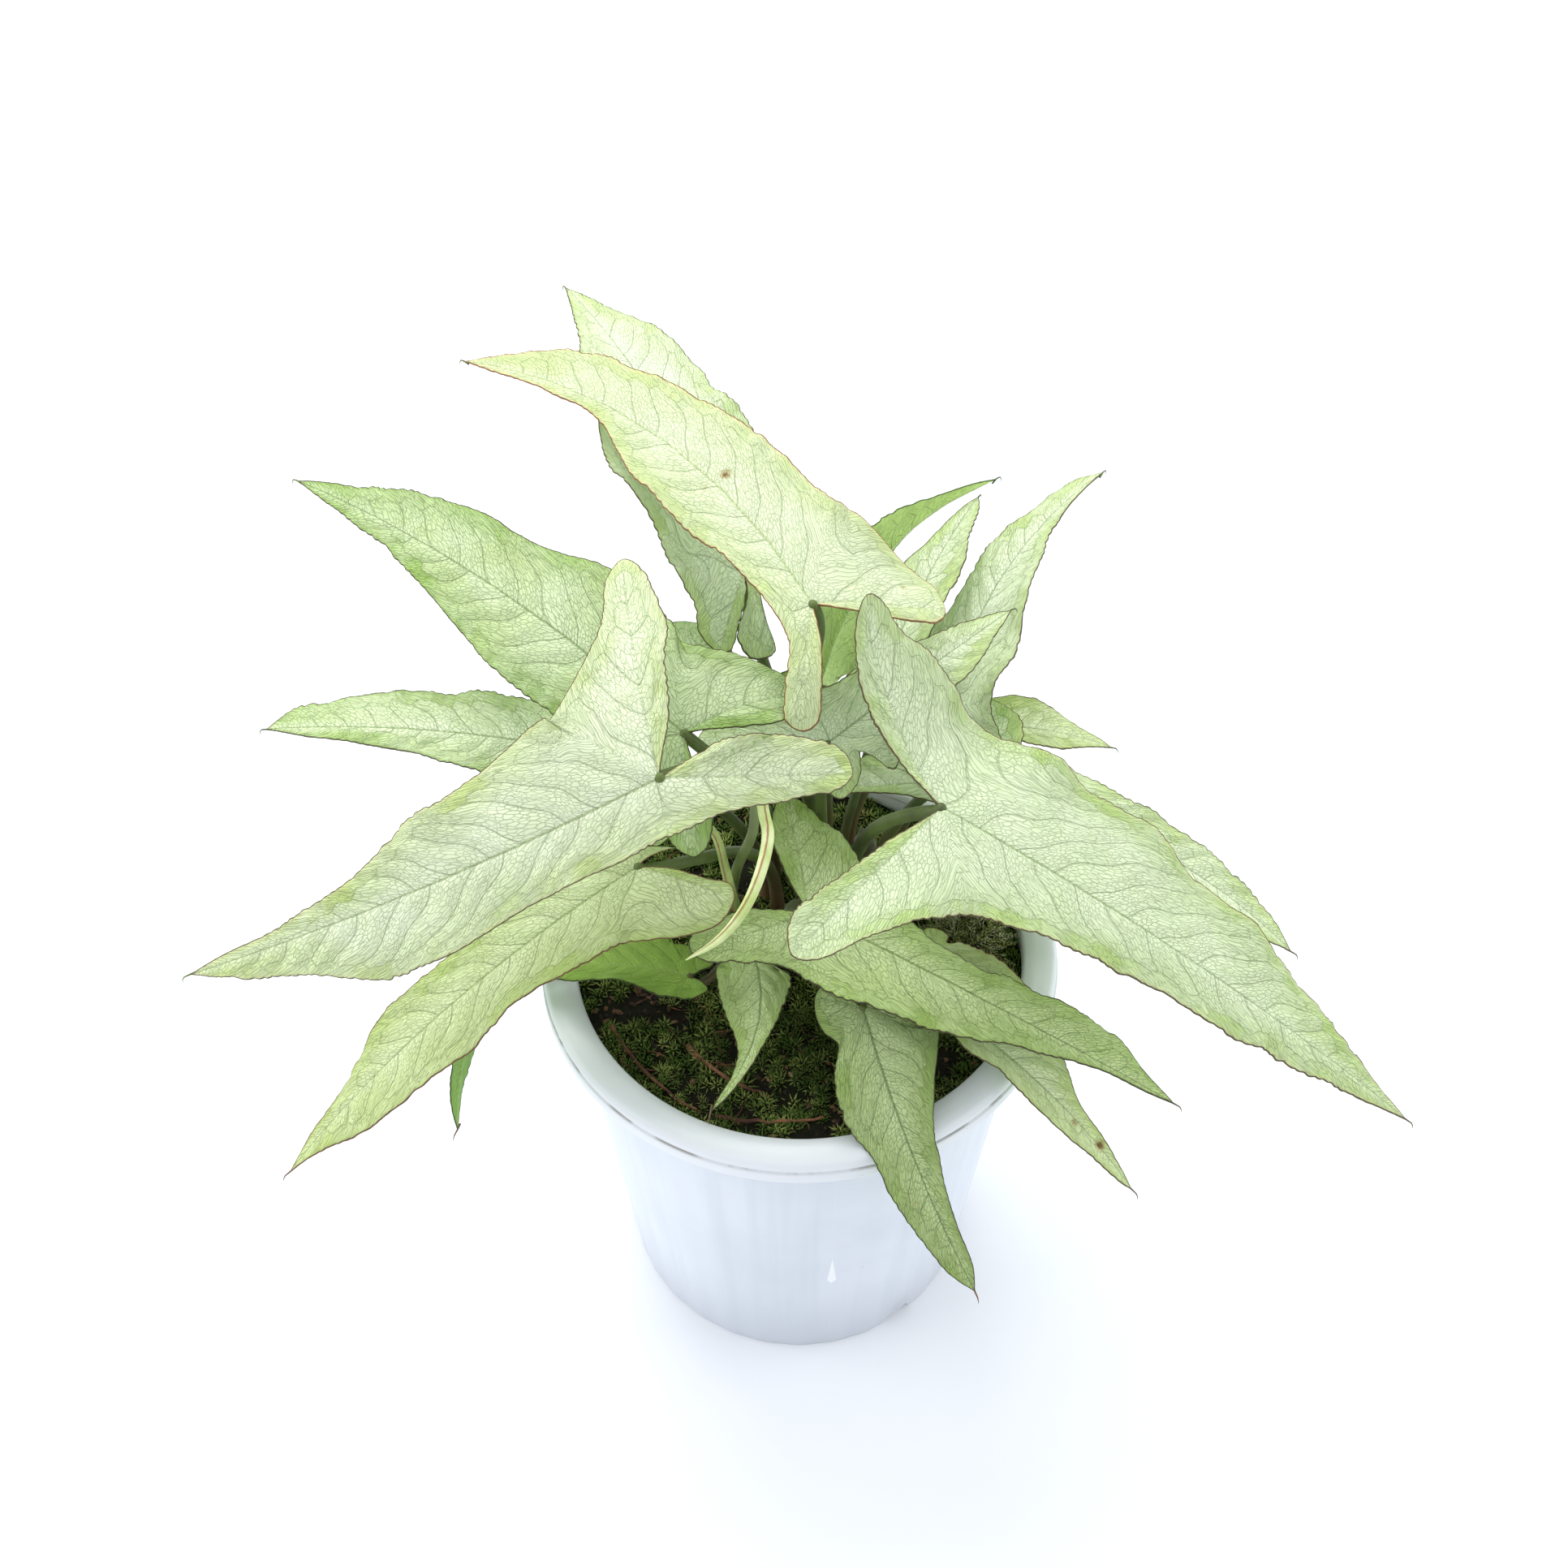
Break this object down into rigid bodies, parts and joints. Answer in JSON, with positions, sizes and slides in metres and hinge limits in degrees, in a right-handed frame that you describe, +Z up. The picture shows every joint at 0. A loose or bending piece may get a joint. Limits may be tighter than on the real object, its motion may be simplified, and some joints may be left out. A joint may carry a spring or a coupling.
{
  "type": "arrowhead plant",
  "caption": "Arrowhead plant with silvery arrow-shaped leaves on slender stalks in a white nursery pot.",
  "frame": {"origin": "centre of the pot's flat underside", "axes": "+Z up along the pot's axis, +X to the right and -Y towards the front, where the largest leaves hang over the lip"},
  "size_m": [0.3046, 0.2613, 0.2429],
  "materials": {
    "pot": "moulded white plastic, faintly marbled, with a soft sheen",
    "soil": "damp dark potting soil with moss rosettes",
    "moss": "pale feathery moss",
    "bark": "thin reddish-brown twigs",
    "sheath": "brownish, velvety scale leaf",
    "stalk": "dark olive, slightly glossy petioles",
    "leaf_young": "pale yellow-green new leaf",
    "leaf_silver": "silvery green upper surface with netted veins and a dark margin line",
    "leaf_mature": "sage green with netted veins and a dark margin line",
    "leaf_shaded": "grey-green with netted veins and a dark margin line",
    "leaf_green": "bright green underside with pale veins",
    "leaf_yellowing": "yellowing leaf with brown damage"
  },
  "bodies": {
    "root": {"pot": "pot", "soil": "soil", "leaf_01_blade": "leaf_young", "leaf_01_stalk": "stalk", "leaf_02_blade": "leaf_silver", "leaf_02_stalk": "stalk", "leaf_03_blade": "leaf_mature", "leaf_03_stalk": "stalk", "leaf_04_blade": "leaf_mature", "leaf_04_stalk": "stalk", "leaf_05_blade": "leaf_silver", "leaf_05_stalk": "stalk", "leaf_06_blade": "leaf_mature", "leaf_06_stalk": "stalk", "leaf_07_blade": "leaf_silver", "leaf_07_stalk": "stalk", "leaf_08_blade": "leaf_silver", "leaf_08_stalk": "stalk", "leaf_09_blade": "leaf_silver", "leaf_09_stalk": "stalk", "leaf_10_blade": "leaf_green", "leaf_10_stalk": "stalk", "leaf_11_blade": "leaf_yellowing", "leaf_11_stalk": "stalk", "leaf_12_blade": "leaf_mature", "leaf_12_stalk": "stalk", "leaf_13_blade": "leaf_shaded", "leaf_13_stalk": "stalk", "leaf_14_blade": "leaf_yellowing", "leaf_14_stalk": "stalk", "leaf_15_blade": "leaf_shaded", "leaf_15_stalk": "stalk", "leaf_16_blade": "leaf_shaded", "leaf_16_stalk": "stalk", "leaf_17_blade": "leaf_green", "leaf_17_stalk": "stalk", "leaf_18_blade": "leaf_silver", "leaf_18_stalk": "stalk", "leaf_19_blade": "leaf_mature", "leaf_19_stalk": "stalk", "leaf_20_blade": "leaf_green", "leaf_20_stalk": "stalk", "rolled_leaf_a": "leaf_young", "rolled_leaf_b": "leaf_young", "scale_leaf": "sheath", "moss_tuft": "moss", "twig_a": "bark", "twig_b": "bark", "twig_c": "bark"}
  },
  "joints": []
}
